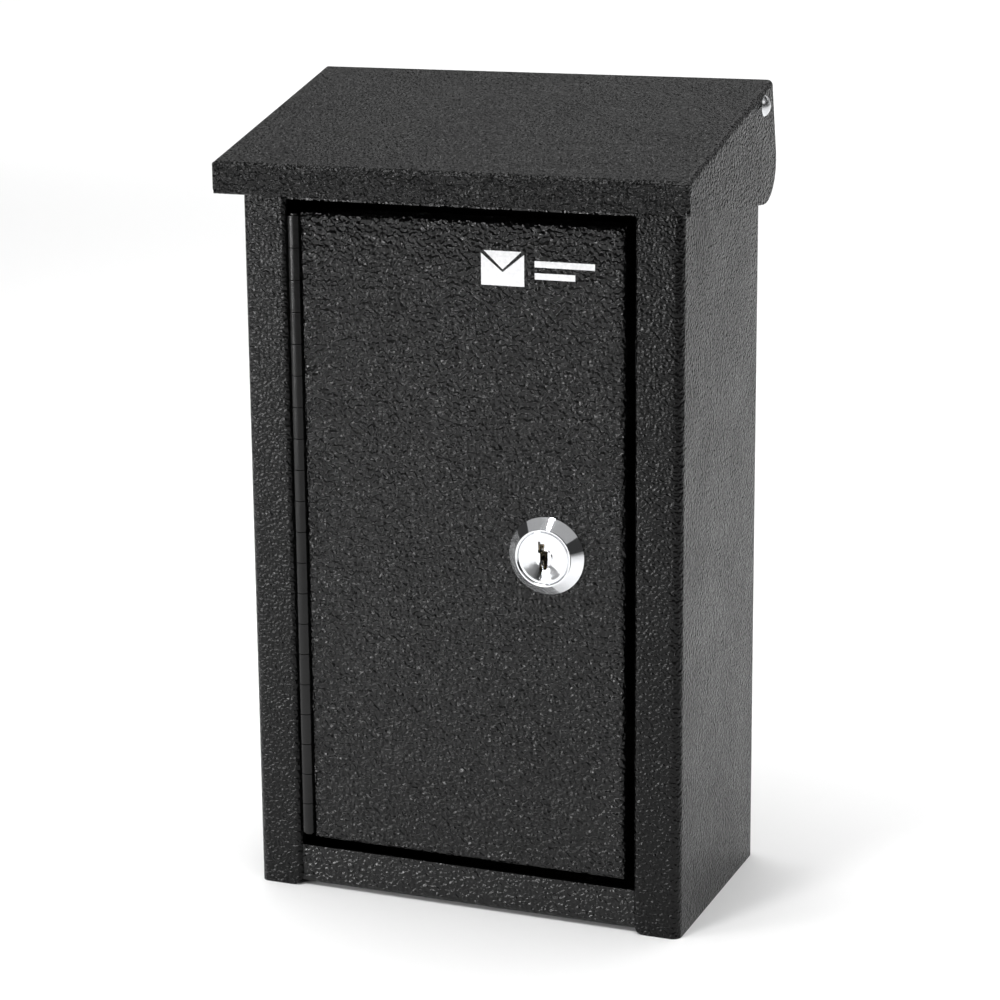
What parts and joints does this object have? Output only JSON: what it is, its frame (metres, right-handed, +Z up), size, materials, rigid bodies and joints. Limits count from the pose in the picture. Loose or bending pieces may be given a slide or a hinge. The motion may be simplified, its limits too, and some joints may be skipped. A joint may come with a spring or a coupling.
{
  "type": "wall-mounted drop box",
  "caption": "Wall-mounted steel drop box with a lifting hood lid over a deposit slot and a hinged, cam-locked front door.",
  "frame": {"origin": "at the base, under the middle of the box's overall width and depth, the lid included", "axes": "+Z up, +Y towards the wall behind the box, +X to the right as one faces the door"},
  "size_m": [0.1642, 0.0936, 0.2699],
  "materials": {
    "hammered_coat": "black hammered powder coat",
    "hinge_paint": "black paint over steel",
    "lock_chrome": "polished",
    "plain_steel": "zinc plated",
    "wafer_brass": "stamped",
    "rivet_aluminium": "bright",
    "bush_plastic": "moulded"
  },
  "bodies": {
    "box": {"body_shell": "hammered_coat", "bottom_pan": "hammered_coat", "top_deck": "hammered_coat", "baffle": "hammered_coat", "door_stops": "hammered_coat", "hinge_frame_leaf": "hinge_paint", "hinge_pin": "plain_steel"},
    "door": {"door_panel": "hammered_coat", "hinge_door_leaf": "hinge_paint", "lock_housing": "lock_chrome", "lock_washer": "plain_steel", "lock_nut": "plain_steel"},
    "plug": {"lock_plug": "lock_chrome", "lock_wafers": "wafer_brass", "wafer_springs": "plain_steel", "cam_stop_washer": "plain_steel", "lock_cam": "plain_steel", "cam_spring_washer": "plain_steel", "cam_screw": "plain_steel"},
    "lid": {"lid": "hammered_coat", "lid_rivet_left": "rivet_aluminium", "lid_rivet_right": "rivet_aluminium", "lid_bush_left": "bush_plastic", "lid_bush_right": "bush_plastic", "lid_washer_left": "plain_steel", "lid_washer_right": "plain_steel"}
  },
  "joints": [
    {"name": "door_swing", "type": "hinge", "parent": "box", "child": "door", "pos_m": [-0.0568, -0.03425, 0.1246], "axis": [0, 0, -1], "range_deg": [0, 110]},
    {"name": "lock_turn", "type": "hinge", "parent": "door", "child": "plug", "pos_m": [0.0302, -0.03575, 0.1247], "axis": [0, -1, 0], "range_deg": [0, 90]},
    {"name": "lid_lift", "type": "hinge", "parent": "box", "child": "lid", "pos_m": [0, 0.03265, 0.26221], "axis": [-1, 0, 0], "range_deg": [0, 100]}
  ]
}
